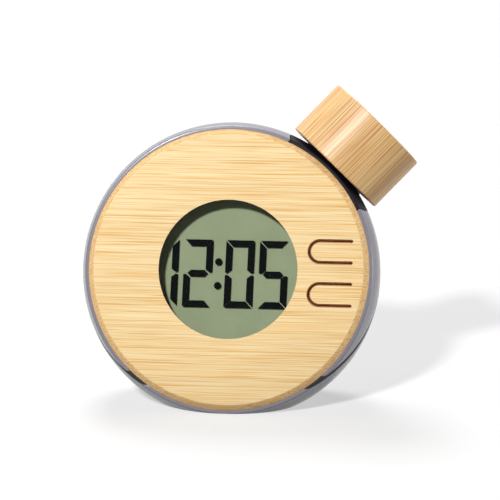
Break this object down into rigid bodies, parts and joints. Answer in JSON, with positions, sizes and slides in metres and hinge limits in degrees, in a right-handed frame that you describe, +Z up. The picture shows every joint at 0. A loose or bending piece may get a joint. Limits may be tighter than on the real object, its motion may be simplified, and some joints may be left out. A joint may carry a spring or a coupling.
{
  "type": "desk clock",
  "caption": "Round leaning desk clock with a bamboo face, recessed digital display, flexing push buttons and an angled screw cap on its filler neck.",
  "frame": {"origin": "middle of the flat that the case stands on, on the table surface", "axes": "+X right as seen from the front, +Y away from the viewer towards the back, +Z up"},
  "size_m": [0.0927, 0.0526, 0.086],
  "materials": {
    "bamboo": "fine sanded bamboo, satin",
    "cap_bamboo": "turned bamboo, satin",
    "case_plastic": "moulded grey, satin",
    "black_plastic": "moulded black, satin",
    "black_rubber": "matte",
    "silicone": "matte",
    "display_glass": "thin anti-glare glass",
    "display_ink": "dark display strokes",
    "display_backing": "grey-green reflector",
    "board": "solder mask",
    "cell_plastic": "natural translucent moulding",
    "copper": "bare sheet copper",
    "zinc": "bare sheet zinc",
    "steel": "plated steel",
    "tape": "double-sided foam tape",
    "red_sleeve": "wire sleeve",
    "black_sleeve": "wire sleeve"
  },
  "bodies": {
    "case": {"bamboo_face": "bamboo", "upper_switch_body": "steel", "lower_switch_body": "steel", "face_adhesive_ring": "tape", "front_shell": "case_plastic", "rear_shell": "case_plastic", "shell_seal": "black_rubber", "display_gasket": "black_rubber", "display_front_glass": "display_glass", "liquid_crystal_layer": "display_ink", "display_rear_glass": "display_backing", "upper_display_connector": "silicone", "lower_display_connector": "silicone", "display_holder": "black_plastic", "holder_screw_1": "steel", "holder_screw_2": "steel", "holder_screw_3": "steel", "holder_screw_4": "steel", "circuit_board": "board", "board_screw_1": "steel", "board_screw_2": "steel", "board_screw_3": "steel", "board_screw_4": "steel", "clock_chip": "black_plastic", "storage_capacitor": "black_plastic", "quartz_crystal": "steel", "cell_cover": "cell_plastic", "cell_seal": "black_rubber", "water_cell": "cell_plastic", "left_copper_electrode": "copper", "left_zinc_electrode": "zinc", "right_copper_electrode": "copper", "right_zinc_electrode": "zinc", "cell_link_strip": "copper", "positive_lead": "red_sleeve", "negative_lead": "black_sleeve", "filler_neck": "black_plastic"},
    "upper_button_body": {"upper_button": "bamboo"},
    "lower_button_body": {"lower_button": "bamboo"},
    "upper_key_body": {"upper_key": "silicone", "upper_switch_plunger": "black_plastic"},
    "lower_key_body": {"lower_key": "silicone", "lower_switch_plunger": "black_plastic"},
    "washer_body": {"cap_washer": "black_rubber"},
    "cap_body": {"bamboo_cap": "cap_bamboo", "cap_insert": "black_plastic"}
  },
  "joints": [
    {"name": "upper_button_flex", "type": "hinge", "parent": "case", "child": "upper_button_body", "pos_m": [0.034, -0.00329, 0.04363], "axis": [0, -0.2924, -0.9563], "range_deg": [0, 4], "stiffness_Nm_per_rad": 0.15},
    {"name": "lower_button_flex", "type": "hinge", "parent": "case", "child": "lower_button_body", "pos_m": [0.034, -0.00675, 0.03229], "axis": [0, -0.2924, -0.9563], "range_deg": [0, 4], "stiffness_Nm_per_rad": 0.15},
    {"name": "upper_key_travel", "type": "slide", "parent": "case", "child": "upper_key_body", "axis": [0, 0.9563, -0.2924], "range_m": [0, 0.000489]},
    {"name": "lower_key_travel", "type": "slide", "parent": "case", "child": "lower_key_body", "axis": [0, 0.9563, -0.2924], "range_m": [0, 0.000489]},
    {"name": "cap_lift", "type": "slide", "parent": "case", "child": "washer_body", "axis": [0.6833, 0.2135, 0.6983], "range_m": [0, 0.006]},
    {"name": "cap_turn", "type": "hinge", "parent": "washer_body", "child": "cap_body", "pos_m": [0.03143, 0.01823, 0.06648], "axis": [0.6833, 0.2135, 0.6983], "range_deg": [0, 720]}
  ],
  "couplings": [
    {"joint": "upper_button_flex", "follows": "upper_key_travel", "rad_per_m": 142.7},
    {"joint": "lower_button_flex", "follows": "lower_key_travel", "rad_per_m": 142.7},
    {"joint": "cap_turn", "follows": "cap_lift", "rad_per_m": 2094.4}
  ]
}
